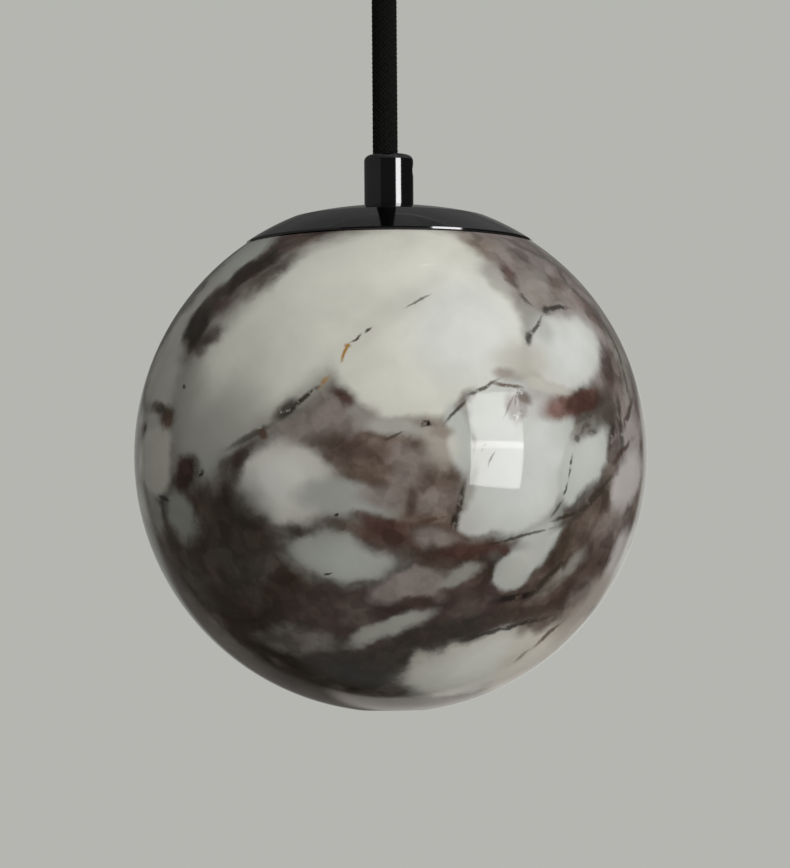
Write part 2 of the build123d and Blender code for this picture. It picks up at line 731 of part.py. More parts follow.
# Globe: a hollowed ball, cut flat under the cap and touched flat at its foot
with BuildPart() as stone_globe:
    flat_r = BASE_FLAT_D / 2
    flat_z = globe_z - height_on(globe_r, flat_r)
    hollow_top_z = globe_z + height_on(hollow_r, stone_bore_r)
    with BuildSketch(Plane.XZ):
        with BuildLine():
            ThreePointArc((cut_r, cut_z), (globe_r, globe_z), (flat_r, flat_z))
            Polyline((flat_r, flat_z), (0, flat_z), (0, globe_z - hollow_r))
            ThreePointArc(
                (0, globe_z - hollow_r),
                (hollow_r, globe_z),
                (stone_bore_r, hollow_top_z),
            )
            Polyline((stone_bore_r, hollow_top_z), (stone_bore_r, cut_z), (cut_r, cut_z))
        make_face()
    revolve(axis=Axis.Z)
    rounds = stone_globe.edges().filter_by(GeomType.CIRCLE).group_by(Axis.Z)
    fillet(rounds[0], BASE_EDGE)
    fillet(rounds[-1].sort_by(SortBy.RADIUS)[-1], MOUTH_EDGE)
save(stone_globe, "stone_globe")

# Neck ring: bonded in the mouth, grooved outside for the glue
with BuildPart() as neck_ring:
    with BuildSketch(Plane.XY.offset(cut_z - RING_H)):
        Circle(ring_out_r)
        Circle(ring_in_r, mode=Mode.SUBTRACT)
    extrude(amount=RING_H)
    for share in (1 / 3, 2 / 3):
        with BuildSketch(Plane.XY.offset(cut_z - share * RING_H - RING_GROOVE_W / 2)):
            Circle(ring_out_r)
            Circle(ring_out_r - RING_GROOVE_DEPTH, mode=Mode.SUBTRACT)
        extrude(amount=RING_GROOVE_W, mode=Mode.SUBTRACT)
save(neck_ring, "neck_ring")

# Lamp: a base with a tang and two pins, a clear envelope and the board in it
with BuildPart() as bulb_base:
    with BuildSketch(Plane.XY.offset(bulb_z)):
        Circle(BULB_BASE_D / 2)
    extrude(amount=BULB_BASE_H)
    with BuildSketch(Plane.XY.offset(bulb_top_z)):
        Rectangle(TANG_L, TANG_W)
    extrude(amount=TANG_H)
save(bulb_base, "bulb_base")

with BuildPart() as bulb_pins:
    with BuildSketch(Plane.XY.offset(bulb_top_z + TANG_H)):
        with Locations(*contact_places):
            Circle(PIN_D / 2)
    extrude(amount=PIN_L)
    fillet(bulb_pins.edges().group_by(Axis.Z)[-1], PIN_D / 3)
save(bulb_pins, "bulb_pins")

with BuildPart() as bulb_envelope:
    bulb_r = BULB_D / 2
    tip_centre = (0, bulb_tip_z + bulb_r)
    outer_tip = quarter_arc(tip_centre, bulb_r)
    inner_tip = quarter_arc(tip_centre, bulb_r - BULB_WALL)
    with BuildSketch(Plane.XZ):
        with BuildLine():
            ThreePointArc(*outer_tip)
            Polyline(
                outer_tip[2],
                (bulb_r, bulb_z),
                (bulb_r - BULB_WALL, bulb_z),
                inner_tip[2],
            )
            ThreePointArc(*reversed(inner_tip))
            Line(inner_tip[0], outer_tip[0])
        make_face()
    revolve(axis=Axis.Z)
save(bulb_envelope, "bulb_envelope")

board_end_z = bulb_tip_z + BULB_WALL + BOARD_GAP
with BuildPart() as bulb_led_board:
    with BuildSketch(Plane.XY.offset(board_end_z)):
        Rectangle(BOARD_W, BOARD_T)
    extrude(amount=bulb_z - board_end_z)
save(bulb_led_board, "bulb_led_board")

print("Free cord", CORD_FREE, "mm; globe's middle", round(-globe_z, 2), "mm below the ceiling")
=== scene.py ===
import json
import math

import bpy
from mathutils import Matrix, Vector


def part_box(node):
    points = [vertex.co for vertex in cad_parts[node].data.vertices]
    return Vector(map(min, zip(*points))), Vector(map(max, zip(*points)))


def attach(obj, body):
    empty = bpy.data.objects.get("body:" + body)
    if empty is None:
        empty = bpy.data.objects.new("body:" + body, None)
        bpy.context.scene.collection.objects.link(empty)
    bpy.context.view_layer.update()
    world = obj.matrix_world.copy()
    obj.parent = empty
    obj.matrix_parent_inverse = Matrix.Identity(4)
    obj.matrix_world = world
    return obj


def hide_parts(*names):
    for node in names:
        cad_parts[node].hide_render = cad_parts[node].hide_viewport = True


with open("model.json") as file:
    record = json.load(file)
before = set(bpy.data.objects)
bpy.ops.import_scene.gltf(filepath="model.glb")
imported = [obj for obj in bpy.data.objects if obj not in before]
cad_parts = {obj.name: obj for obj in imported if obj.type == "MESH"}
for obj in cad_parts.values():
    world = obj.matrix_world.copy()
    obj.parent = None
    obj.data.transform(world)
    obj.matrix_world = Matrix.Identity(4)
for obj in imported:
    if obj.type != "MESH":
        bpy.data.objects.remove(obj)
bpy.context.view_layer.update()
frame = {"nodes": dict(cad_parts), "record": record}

# Stone pendant light, in metres, in the frame of the CAD model: the origin is on the ceiling,
# +Z is up, and the front faces -Y.
MM = 0.001

# Picture frame and camera
IMAGE_W = 790
IMAGE_H = 868
FOCAL_PX = 2901
SENSOR_MM = 36.0
EYE = Vector((0.0, -0.680, -0.1873))
AIM = Vector((0.00101, 0.0, -0.15325))
ROLL = math.radians(0.43)  # the lamp hangs a little askew, as its cord is off its middle

# Globe, read from the frame
BASE_FLAT_R = 0.009  # flat spot below
globe_low, globe_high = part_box("stone_globe")
GLOBE_R = (globe_high.x - globe_low.x) / 2
GLOBE_Z = globe_low.z + math.sqrt(GLOBE_R**2 - BASE_FLAT_R**2)
GLOBE_MIDDLE = Vector((0.0, 0.0, GLOBE_Z))

# Cord, read from the frame
drop_low, drop_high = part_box("cord_drop")
bend_low, bend_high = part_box("cord_bend")
CORD_X = (drop_low.x + drop_high.x) / 2
CORD_D = drop_high.y - drop_low.y
LAMP_MOUTH_Z = drop_low.z
BEND_Z = (bend_low.z + bend_high.z) / 2
CORD_END_R = 2.8 * MM  # rounded end in the ceiling grip
STRAIGHT_POINT = 6 * CORD_D  # route point's distance from the ceiling end

# Braid on the cord
CARRIERS = 16  # strands each way round
BRAID_LAY = 17.6 * MM
STRAND_W = 0.82 * MM
STRAND_T = 0.34 * MM
WEAVE_RISE = 0.10 * MM
STEPS_PER_CROSSING = 4
STRAND_SIDES = 6
CORE_SHARE = 0.90  # plain core under the braid, as a share of the cord
CORE_SIDES = 48
END_RINGS = 8  # rings of the core round its end
END_REACH = 0.96  # share of the rounded end that braid and core cover
LEAST_STRAND = 0.3  # least width of a strand there, as a share


def srgb(red, green, blue):
    """A colour written in 0 to 255, as the shaders' linear values."""
    linear = []
    for level in (red, green, blue):
        share = level / 255
        linear.append(share / 12.92 if share <= 0.04045 else ((share + 0.055) / 1.055) ** 2.4)
    return (*linear, 1.0)


def camera_axes():
    """The camera's right, up and forward directions."""
    forward = (AIM - EYE).normalized()
    level = forward.cross(Vector((0, 0, 1))).normalized()
    right = Matrix.Rotation(ROLL, 3, forward) @ level
    return right, right.cross(forward), forward


def make_camera():
    data = bpy.data.cameras.new("photo_camera")
    data.sensor_width = SENSOR_MM
    data.lens = FOCAL_PX / max(IMAGE_W, IMAGE_H) * SENSOR_MM
    camera = bpy.data.objects.new("photo_camera", data)
    bpy.context.scene.collection.objects.link(camera)
    right, up, forward = camera_axes()
    turn = Matrix((right, up, -forward)).transposed().to_4x4()
    camera.matrix_world = Matrix.Translation(EYE) @ turn
    bpy.context.scene.camera = camera


def on_globe(x, y):
    """The globe's point under a pixel, from its middle in radii, and a radius in pixels there."""
    right, up, forward = camera_axes()
    ray = forward + right * (x - IMAGE_W / 2) / FOCAL_PX + up * (IMAGE_H / 2 - y) / FOCAL_PX
    ray.normalize()
    to_middle = GLOBE_MIDDLE - EYE
    along = to_middle.dot(ray)
    miss = (to_middle - ray * along).length
    depth = along - math.sqrt(max(GLOBE_R**2 - miss**2, 0))
    point = (EYE + ray * depth - GLOBE_MIDDLE) / GLOBE_R
    return point, FOCAL_PX * GLOBE_R / depth


class Shader:
    """Builds the nodes of one material or of the world."""

    def __init__(self, tree):
        self.tree = tree
        self.bsdf = tree.nodes.get("Principled BSDF")

    def feed(self, socket, value):
        if isinstance(value, bpy.types.NodeSocket):
            self.tree.links.new(value, socket)
        else:
            socket.default_value = value

    def surface(self, socket, value):
        """Sets a socket of the material's surface."""
        self.feed(self.bsdf.inputs[socket], value)

    def add(self, kind, inputs=(), out=0, **settings):
        """Adds a node. inputs holds pairs of a socket and its value or source."""
        made = self.tree.nodes.new("ShaderNode" + kind)
        for name, value in settings.items():
            setattr(made, name, value)
        for socket, value in inputs:
            self.feed(made.inputs[socket], value)
        return made.outputs[out]

    def maths(self, operation, first, second=0.0):
        return self.add("Math", [(0, first), (1, second)], operation=operation)

    def product(self, first, *others):
        for other in others:
            first = self.maths("MULTIPLY", first, other)
        return first

    def mix(self, factor, first, second, blend="MIX"):
        pairs = [(0, factor), (6, first), (7, second)]
        return self.add("Mix", pairs, out=2, data_type="RGBA", blend_type=blend)

    def step(self, value, low, high, to_low=0.0, to_high=1.0):
        """A smooth step between two values."""
        pairs = [(0, value), (1, low), (2, high), (3, to_low), (4, to_high)]
        return self.add("MapRange", pairs, interpolation_type="SMOOTHSTEP")

    def noise(self, place, scale, detail=3.0, roughness=0.55, distortion=0.0, out=0):
        pairs = [("Vector", place), ("Scale", scale), ("Detail", detail)]
        pairs += [("Roughness", roughness), ("Distortion", distortion)]
        return self.add("TexNoise", pairs, out=out)

    def waver(self, place, scale, detail, roughness=0.55):
        """A noise vector round zero."""
        colour = self.noise(place, scale, detail, roughness, out="Color")
        return self.add("VectorMath", [(0, colour), (1, (0.5,) * 3)], operation="SUBTRACT")

    def bend(self, place, waver, reach):
        """A place moved along a noise vector."""
        pairs = [(0, waver), (1, (reach,) * 3), (2, place)]
        return self.add("VectorMath", pairs, operation="MULTIPLY_ADD")

    def ramp(self, value, *stops):
        """A colour ramp through pairs of a place and a colour."""
        made = self.tree.nodes.new("ShaderNodeValToRGB")
        self.feed(made.inputs[0], value)
        points = made.color_ramp.elements
        while len(points) < len(stops):
            points.new(0.5)
        for point, (place, colour) in zip(points, stops):
            point.position = place
            point.color = colour
        return made.outputs[0]

    def bump(self, height, distance, strength=1.0):
        pairs = [("Strength", strength), ("Distance", distance), ("Height", height)]
        return self.add("Bump", pairs)


def new_material(name, **sockets):
    """A Principled material with its constant sockets set, and its node builder."""
    material = bpy.data.materials.new(name)
    material.use_nodes = True
    shader = Shader(material.node_tree)
    for socket, value in sockets.items():
        shader.surface(socket.replace("_", " "), value)
    return material, shader


# Stone tones
PEARL = srgb(221, 219, 211)
CREAM = srgb(215, 214, 202)
COOL_WHITE = srgb(213, 215, 209)
WHITE = srgb(202, 204, 198)
BRIGHT = srgb(209, 212, 207)
RIM_WHITE = srgb(193, 191, 184)
SILVER = srgb(186, 189, 182)
MILK = srgb(188, 185, 174)
GREY = srgb(172, 174, 166)
LIMB_GREY = srgb(174, 172, 163)
BRIGHT_GREY = srgb(181, 184, 177)
RIM_GREY = srgb(160, 158, 149)
DIM_GREY = srgb(154, 153, 144)
BEIGE = srgb(214, 208, 196)
DARK_BEIGE = srgb(162, 151, 140)
PINK_WHITE = srgb(190, 184, 180)
PINK_GREY = srgb(140, 129, 123)
MAUVE = srgb(116, 100, 89)
ROSE = srgb(120, 90, 82)
DULL = srgb(118, 111, 103)
MAUVE_BROWN = srgb(98, 84, 76)
DARK_GREY = srgb(86, 81, 74)
BROWN = srgb(88, 67, 55)
RED_BROWN = srgb(78, 55, 49)
PURPLE_BROWN = srgb(74, 57, 51)
DARK_BROWN = srgb(60, 43, 36)
OLIVE = srgb(56, 50, 41)
DARK_OLIVE = srgb(68, 59, 49)
DEEP = srgb(46, 40, 32)
NEAR_BLACK = srgb(26, 21, 18)
GOLD = srgb(164, 118, 42)
LIGHT_FRAGMENT = srgb(150, 138, 128)
DARK_FRAGMENT = srgb(40, 33, 28)

# Tints of the rubble in the dark parts
RUBBLE_DARK = (0.62, 0.60, 0.58, 1.0)
RUBBLE_LIGHT = (1.42, 1.44, 1.46, 1.0)
RUBBLE_COVER = 0.6

# Wavering of the clasts' edges and of the veins, in radii
BROAD_WARP = 0.10
FINE_WARP = 0.045
VEIN_WARP = 0.03
VEIN_EDGE = 0.55  # soft edge of a vein, as a share of its half width

# Sides that the picture doesn't show: their border in y, in radii, and their larger fragments
BORDER_WAVER = 0.7
BORDER = (-0.22, -0.14)
FRAGMENT_TURN = (0.5, 0.3, 0.7)
FRAGMENT_SQUEEZE = (1.0, 1.4, 1.8)
FRAGMENT_SCALE = 1.15

# The stone's visible side, in the order that it is laid: pixel, half length, half width, tilt in
# degrees anticlockwise, tone, edge in pixels, cover
GROUND = [
    (548, 272, 125, 58, -42, PINK_GREY, 40, 0.85),
    (620, 400, 135, 26, -84, PINK_GREY, 16, 0.75),
    (408, 482, 84, 68, -10, MAUVE, 34, 0.85),
    (235, 590, 150, 75, -50, DARK_OLIVE, 50, 0.9),
    (350, 676, 95, 26, -8, DEEP, 18, 0.9),
    (410, 606, 120, 30, 10, PURPLE_BROWN, 24, 0.75),
    (592, 560, 84, 46, 48, MAUVE_BROWN, 24, 0.8),
]
# Where a clast is laid twice, as a lighter soft-edged core over its rim, the tones are the stone's
# own and the lighter core is painted glow of light inside the milky stone
CLASTS = [
    (240, 262, 50, 13, 38, GREY, 4, 1.0),
    (188, 318, 52, 14, 58, LIMB_GREY, 6, 1.0),
    (160, 384, 40, 17, 76, LIMB_GREY, 7, 1.0),
    (287, 336, 142, 62, 39, CREAM, 22, 1.0),
    # A grey clast laid over the cream one at the left end: partly the stone's grey, partly painted
    # shade where the light falls off towards the globe's edge
    (184, 392, 40, 18, 80, DIM_GREY, 14, 0.75),
    (214, 430, 48, 33, 48, LIMB_GREY, 24, 1.0),
    (345, 275, 95, 46, 24, CREAM, 14, 1.0),
    (425, 332, 100, 92, 15, CREAM, 8, 1.0),
    (415, 258, 72, 38, 0, CREAM, 12, 1.0),
    (392, 426, 38, 9, -16, LIMB_GREY, 5, 1.0),
    (358, 411, 12, 6, -35, GREY, 4, 0.85),
    (468, 330, 50, 58, 20, COOL_WHITE, 34, 0.9),
    (395, 308, 75, 10, 40, MILK, 9, 0.35),
    (533, 322, 13, 20, 20, DIM_GREY, 6, 0.7),
    (564, 352, 41, 38, 20, RIM_WHITE, 6, 1.0),
    # Lighter soft core over an earlier clast's rim: painted glow inside the milky stone
    (567, 351, 34, 32, 20, BRIGHT, 22, 1.0),
    (522, 362, 28, 20, 0, MILK, 12, 0.85),
    (537, 386, 17, 9, -8, MILK, 6, 0.95),
    (557, 391, 16, 6, -4, MILK, 4, 0.9),
    (542, 329, 9, 12, 40, GREY, 6, 0.6),
    (518, 466, 69, 50, 68, RIM_WHITE, 3.5, 1.0),
    (550, 446, 32, 22, 74, WHITE, 5, 1.0),
    (500, 412, 36, 24, 35, WHITE, 5, 1.0),
    (566, 432, 14, 20, 0, SILVER, 6, 0.9),
    (538, 405, 18, 11, 0, PINK_WHITE, 7, 0.8),
    (457, 440, 15, 34, 6, SILVER, 4, 1.0),
    (482, 517, 25, 16, 20, RIM_WHITE, 3.5, 1.0),
    # Lighter soft core over an earlier clast's rim: painted glow inside the milky stone
    (522, 474, 66, 44, 68, BRIGHT, 26, 0.9),
    (586, 462, 45, 21, 64, SILVER, 3.5, 1.0),
    # Lighter soft core over an earlier clast's rim: painted glow inside the milky stone
    (586, 461, 38, 16, 64, WHITE, 12, 0.4),
    (626, 482, 34, 13, 64, PINK_WHITE, 4, 0.95),
    (527, 555, 50, 16, 48, SILVER, 3.5, 1.0),
    (510, 575, 18, 15, 0, GREY, 3.5, 1.0),
    (523, 561, 30, 12, 46, RIM_WHITE, 11, 0.6),
    (562, 577, 40, 7, 44, DULL, 3.5, 0.9),
    (574, 563, 17, 6, 44, DIM_GREY, 4, 0.6),
    (612, 526, 24, 13, 56, PINK_GREY, 7, 0.8),
    (476, 664, 76, 31, 14, MILK, 5, 1.0),
    (418, 660, 12, 11, 30, MILK, 5, 0.8),
    # Lighter soft core over an earlier clast's rim: painted glow inside the milky stone
    (479, 666, 61, 24, 14, PEARL, 18, 0.95),
    (542, 656, 60, 30, 34, BEIGE, 6, 1.0),
    (590, 603, 50, 11, 48, DARK_BEIGE, 6, 0.95),
    (286, 483, 50, 41, -24, MILK, 8, 1.0),
    # Lighter soft core over an earlier clast's rim: painted glow inside the milky stone
    (284, 481, 44, 35, -24, PEARL, 26, 1.0),
    (346, 501, 48, 20, -10, GREY, 7, 0.95),
    (341, 555, 53, 22, -6, RIM_GREY, 4, 1.0),
    # Lighter soft core over an earlier clast's rim: painted glow inside the milky stone
    (342, 557, 47, 19, -6, BRIGHT_GREY, 14, 1.0),
    (410, 585, 40, 15, 14, PINK_GREY, 4, 0.95),
    (458, 575, 20, 8, 18, DIM_GREY, 4, 0.85),
    (438, 594, 9, 7, 0, PINK_GREY, 4, 0.7),
    (296, 638, 38, 13, -4, DULL, 5, 0.95),
    (389, 628, 44, 10, 20, DIM_GREY, 4, 0.95),
    # Lighter soft core over an earlier clast's rim: painted glow inside the milky stone
    (388, 630, 38, 8, 20, LIMB_GREY, 6, 0.6),
    (155, 460, 37, 21, 88, MILK, 5, 1.0),
    (146, 424, 8, 9, 0, LIMB_GREY, 4, 0.8),
    (152, 513, 25, 12, -68, DIM_GREY, 5, 0.8),
    (182, 514, 28, 14, -66, GREY, 6, 0.65),
    (205, 464, 16, 10, 60, GREY, 8, 0.5),
    (256, 571, 22, 14, -8, DARK_GREY, 5, 0.7),
    (222, 556, 18, 12, -40, DARK_GREY, 8, 0.35),
    (230, 637, 54, 8, -47, DULL, 7, 0.45),
    (198, 585, 30, 9, -58, DARK_GREY, 8, 0.5),
    (305, 606, 34, 12, 12, PURPLE_BROWN, 10, 0.7),
    (326, 424, 44, 15, 14, PINK_GREY, 9, 0.9),
    (328, 406, 24, 10, 20, PINK_GREY, 7, 0.9),
    (405, 459, 20, 14, -10, PINK_GREY, 7, 0.85),
    (404, 476, 18, 8, -5, PINK_GREY, 6, 1.0),
    (584, 590, 20, 7, 48, PINK_GREY, 6, 0.8),
    (439, 449, 16, 20, 10, BEIGE, 10, 0.5),
    (384, 497, 22, 14, 0, PINK_GREY, 7, 0.85),
    (432, 498, 21, 14, 0, PINK_GREY, 7, 0.7),
    (430, 536, 22, 10, 0, PINK_GREY, 5, 0.9),
    (538, 288, 24, 20, -30, DIM_GREY, 10, 0.45),
    (502, 280, 9, 20, 28, LIMB_GREY, 6, 0.85),
    (578, 297, 10, 20, 38, PINK_GREY, 5, 0.7),
    (614, 346, 26, 5, -68, DIM_GREY, 3, 0.6),
    (630, 392, 34, 5, -80, DIM_GREY, 3, 0.6),
    (632, 440, 11, 22, -8, PINK_WHITE, 4, 0.5),
    (621, 551, 26, 9, 64, PINK_WHITE, 4, 0.9),
]
DARK_PATCHES = [
    (280, 256, 30, 7, 37, DEEP, 4, 1.0),
    (247, 277, 27, 9, 33, DEEP, 4, 1.0),
    (272, 277, 31, 8, 37, DARK_OLIVE, 6, 0.9),
    (211, 303, 23, 10, 48, DARK_OLIVE, 5, 0.85),
    (197, 329, 27, 13, 72, DEEP, 5, 1.0),
    (208, 342, 11, 6, 25, OLIVE, 4, 0.9),
    (216, 336, 13, 9, 40, DARK_OLIVE, 5, 0.85),
    (201, 349, 8, 9, 0, DARK_OLIVE, 5, 0.7),
    (244, 455, 29, 9, 35, DARK_OLIVE, 6, 0.9),
    (236, 473, 8, 15, -20, DARK_OLIVE, 5, 0.85),
    (297, 246, 15, 8, 32, MAUVE_BROWN, 6, 0.75),
    (163, 417, 9, 14, 0, BROWN, 4, 0.95),
    (155, 409, 9, 6, 0, OLIVE, 4, 0.85),
    (187, 473, 11, 19, -16, DARK_BROWN, 4, 1.0),
    (343, 398, 11, 6, -35, RED_BROWN, 4, 0.9),
    (346, 448, 36, 15, -14, MAUVE_BROWN, 7, 0.9),
    (334, 461, 14, 7, -20, MAUVE_BROWN, 5, 0.75),
    (351, 447, 20, 9, -8, PURPLE_BROWN, 5, 0.6),
    (440, 436, 9, 5, 10, MAUVE, 4, 0.6),
    (370, 468, 17, 14, 0, MAUVE, 7, 0.6),
    (382, 453, 13, 9, 0, MAUVE_BROWN, 5, 0.85),
    (409, 494, 6, 12, 0, PURPLE_BROWN, 4, 0.7),
    (424, 478, 22, 6, -10, MAUVE_BROWN, 5, 0.5),
    (466, 404, 12, 5, 46, DULL, 4, 0.95),
    (470, 484, 5, 16, -8, DIM_GREY, 4, 0.8),
    (561, 409, 19, 11, 4, ROSE, 6, 0.9),
    (585, 404, 20, 13, 22, RED_BROWN, 4, 1.0),
    (593, 427, 15, 11, 35, DARK_GREY, 4, 0.85),
    (583, 436, 6, 8, -30, DULL, 4, 0.7),
    (578, 503, 34, 8, 41, DARK_GREY, 3, 0.95),
    (608, 412, 12, 20, 6, OLIVE, 6, 0.6),
    (609, 370, 7, 28, 7, PURPLE_BROWN, 4, 0.8),
    (589, 311, 24, 7, -48, MAUVE_BROWN, 4, 0.85),
    (559, 284, 8, 16, 0, MAUVE_BROWN, 5, 0.8),
    (478, 246, 18, 9, -28, MAUVE, 6, 0.8),
    (512, 274, 7, 14, 28, RED_BROWN, 4, 0.8),
    (503, 376, 9, 6, 10, PINK_GREY, 4, 0.75),
    (472, 551, 44, 9, 5, RED_BROWN, 5, 0.95),
    (386, 537, 26, 14, -10, RED_BROWN, 7, 0.75),
    (380, 522, 28, 6, -8, RED_BROWN, 4, 0.9),
    (296, 531, 12, 4, -14, OLIVE, 4, 0.8),
    (557, 548, 27, 9, 51, DARK_OLIVE, 4, 0.85),
    (600, 548, 24, 10, 52, PURPLE_BROWN, 6, 0.5),
    (571, 591, 33, 5, 44, PURPLE_BROWN, 4, 0.7),
    (462, 626, 48, 12, 12, DEEP, 6, 0.85),
    (543, 627, 26, 8, 22, MAUVE_BROWN, 4, 0.9),
    (495, 592, 14, 7, -25, PURPLE_BROWN, 4, 0.95),
    (408, 605, 38, 7, 12, DARK_BROWN, 4, 0.9),
    (448, 589, 10, 5, 20, PURPLE_BROWN, 4, 0.8),
    (402, 690, 14, 7, 0, DEEP, 6, 0.6),
    (440, 564, 16, 6, 0, MAUVE_BROWN, 5, 0.6),
    (248, 520, 22, 34, 20, DEEP, 18, 0.5),
    (262, 610, 60, 14, -50, DEEP, 14, 0.5),
]

# Thin veins and specks: pixel, half length, half width, tilt, tone, cover
VEINS = [
    (302, 400, 22, 2.4, 40, OLIVE, 0.95),
    (286, 409, 14, 7, 36, OLIVE, 0.9),
    (250, 436, 24, 3.4, 26, OLIVE, 0.75),
    (263, 434, 5, 5, 0, BROWN, 0.9),
    (345, 352, 9, 1.5, 62, GOLD, 0.95),
    (348, 346, 3, 2.2, 0, GOLD, 0.8),
    (356, 338, 6, 1.5, 40, OLIVE, 0.9),
    (368, 330, 4, 1.4, 38, OLIVE, 0.9),
    (323, 382, 8, 2.2, 52, GOLD, 0.6),
    (418, 301, 13, 1.2, 28, OLIVE, 0.7),
    (427, 424, 5, 3.0, 15, NEAR_BLACK, 1.0),
    (456, 411, 16, 1.8, 46, OLIVE, 0.85),
    (482, 388, 18, 1.8, 30, OLIVE, 0.85),
    (508, 385, 14, 2.0, -8, BROWN, 0.85),
    (524, 397, 9, 6, -40, BROWN, 0.75),
    (513, 408, 7, 15, 14, PINK_GREY, 0.8),
    (522, 410, 5, 10, 0, PINK_GREY, 0.5),
    (509, 406, 12, 1.1, 62, BROWN, 0.7),
    (516, 398, 9, 1.1, 80, BROWN, 0.7),
    (491, 459, 8, 1.1, 66, OLIVE, 0.75),
    (484, 446, 5, 1.0, 60, OLIVE, 0.5),
    (556, 308, 13, 2.2, 6, NEAR_BLACK, 0.85),
    (546, 311, 3, 5, 20, NEAR_BLACK, 0.7),
    (536, 327, 13, 2.0, 58, OLIVE, 0.85),
    (529, 338, 3.5, 7, 0, OLIVE, 0.85),
    (521, 257, 9, 2.2, -40, DARK_GREY, 0.95),
    (528, 250, 20, 1.6, -24, DARK_GREY, 0.9),
    (551, 262, 12, 1.6, -34, DARK_GREY, 0.9),
    (562, 276, 12, 1.8, -66, DARK_GREY, 0.9),
    (519, 290, 14, 1.4, -62, DARK_GREY, 0.7),
    (526, 300, 8, 1.4, -40, DARK_GREY, 0.7),
    (580, 297, 18, 1.6, -42, DARK_GREY, 0.9),
    (600, 318, 16, 1.8, -60, DARK_GREY, 0.9),
    (613, 342, 20, 1.6, -66, DARK_GREY, 0.85),
    (625, 378, 26, 1.6, -78, DARK_GREY, 0.8),
    (628, 414, 16, 2.6, 70, PURPLE_BROWN, 0.85),
    (620, 424, 30, 2.4, -86, OLIVE, 0.8),
    (612, 434, 3, 12, -6, NEAR_BLACK, 0.7),
    (622, 452, 18, 2.6, 50, PURPLE_BROWN, 0.85),
    (588, 424, 6, 3, 30, DARK_GREY, 0.85),
    (582, 431, 5, 3, 60, DARK_GREY, 0.85),
    (578, 439, 2.4, 4, 0, NEAR_BLACK, 0.6),
    (592, 431, 4, 2, -30, DARK_GREY, 0.8),
    (571, 467, 11, 1.1, 80, OLIVE, 0.9),
    (565, 491, 8, 1.1, 72, OLIVE, 0.9),
    (558, 508, 10, 1.1, 52, OLIVE, 0.7),
    (594, 497, 28, 3.4, 46, OLIVE, 0.85),
    (566, 516, 14, 1.8, 18, OLIVE, 0.85),
    (518, 537, 34, 1.4, 15, OLIVE, 0.8),
    (461, 500, 3, 16, -12, OLIVE, 0.9),
    (455, 522, 4.2, 8, -8, DEEP, 0.95),
    (430, 520, 14, 1.6, 14, BROWN, 0.8),
    (393, 436, 10, 1.6, 20, OLIVE, 0.7),
    (505, 551, 5, 6, 30, RED_BROWN, 0.9),
    (516, 597, 22, 3.2, 12, NEAR_BLACK, 0.85),
    (548, 577, 30, 2.8, 44, OLIVE, 0.85),
    (500, 630, 48, 2, 14, DEEP, 0.85),
    (548, 634, 18, 1.6, 42, BROWN, 0.8),
    (522, 656, 9, 1.4, 40, DULL, 0.6),
    (328, 573, 4, 1.1, 14, NEAR_BLACK, 0.9),
    (337, 515, 1.8, 1.8, 0, NEAR_BLACK, 0.9),
    (200, 474, 4, 3, 45, NEAR_BLACK, 0.9),
    (184, 387, 1.6, 2.4, 0, NEAR_BLACK, 0.8),
    (164, 498, 6, 2, -30, NEAR_BLACK, 0.8),
]


class Stone:
    """Layers soft-edged clasts over a mottled ground."""

    DEPTH = 0.62  # clast's half thickness along the view, in radii

    def __init__(self, shader, place, colour):
        self.shader = shader
        self.place = place
        self.colour = colour

    def lay(self, middle, turn, sizes, tone, edge, cover):
        """One ellipsoid, with its edge as a share of its size."""
        ball = self.shader.tree.nodes.new("ShaderNodeTexGradient")
        ball.gradient_type = "SPHERICAL"
        ball.texture_mapping.vector_type = "TEXTURE"
        ball.texture_mapping.translation = middle
        ball.texture_mapping.rotation = turn
        ball.texture_mapping.scale = [2 * size for size in sizes]
        self.shader.feed(ball.inputs[0], self.place)
        mask = self.shader.step(ball.outputs[1], (1 - edge) / 2, (1 + edge) / 2, 0.0, cover)
        self.colour = self.shader.mix(mask, self.colour, tone)

    def lay_seen(self, x, y, half_l, half_w, tilt, tone, edge, cover):
        """A clast where a pixel shows it."""
        middle, radius_px = on_globe(x, y)
        sizes = (half_l / radius_px, self.DEPTH, half_w / radius_px)
        turn = (0, -math.radians(tilt), 0)
        self.lay(middle, turn, sizes, tone, edge / min(half_l, half_w), cover)


def unseen_sides(shader, place, bent, ground, seen):
    """Broken fragments with dark seams, where the picture doesn't show the globe."""
    parts = shader.tree.nodes.new("ShaderNodeSeparateXYZ")
    shader.feed(parts.inputs[0], place)
    border = shader.product(shader.noise(bent, 4.0, 4.0), BORDER_WAVER)
    border = shader.maths("SUBTRACT", parts.outputs[1], border)
    hidden = shader.step(border, *BORDER)
    pairs = [("Vector", bent), ("Rotation", FRAGMENT_TURN), ("Scale", FRAGMENT_SQUEEZE)]
    pairs = [("Vector", shader.add("Mapping", pairs)), ("Scale", FRAGMENT_SCALE)]
    seam = shader.add("TexVoronoi", pairs, out="Distance", feature="DISTANCE_TO_EDGE")
    cell = shader.add("RGBToBW", [(0, shader.add("TexVoronoi", pairs, out="Color"))])
    tone = shader.ramp(
        cell, (0.20, PINK_GREY), (0.32, GREY), (0.45, WHITE), (0.60, CREAM), (0.80, PEARL)
    )
    gap = shader.step(shader.noise(place, 2.6, 1.5), 0.36, 0.66, -0.12, 0.22)
    inside = shader.step(shader.maths("SUBTRACT", seam, gap), -0.01, 0.13)
    broken = shader.step(shader.noise(place, 9.0), 0.45, 0.55, 0.0, 0.8)
    vein = shader.product(shader.step(seam, 0.012, 0.004), broken)
    back = shader.mix(vein, shader.mix(inside, ground, tone), OLIVE)
    return shader.mix(hidden, seen, back)


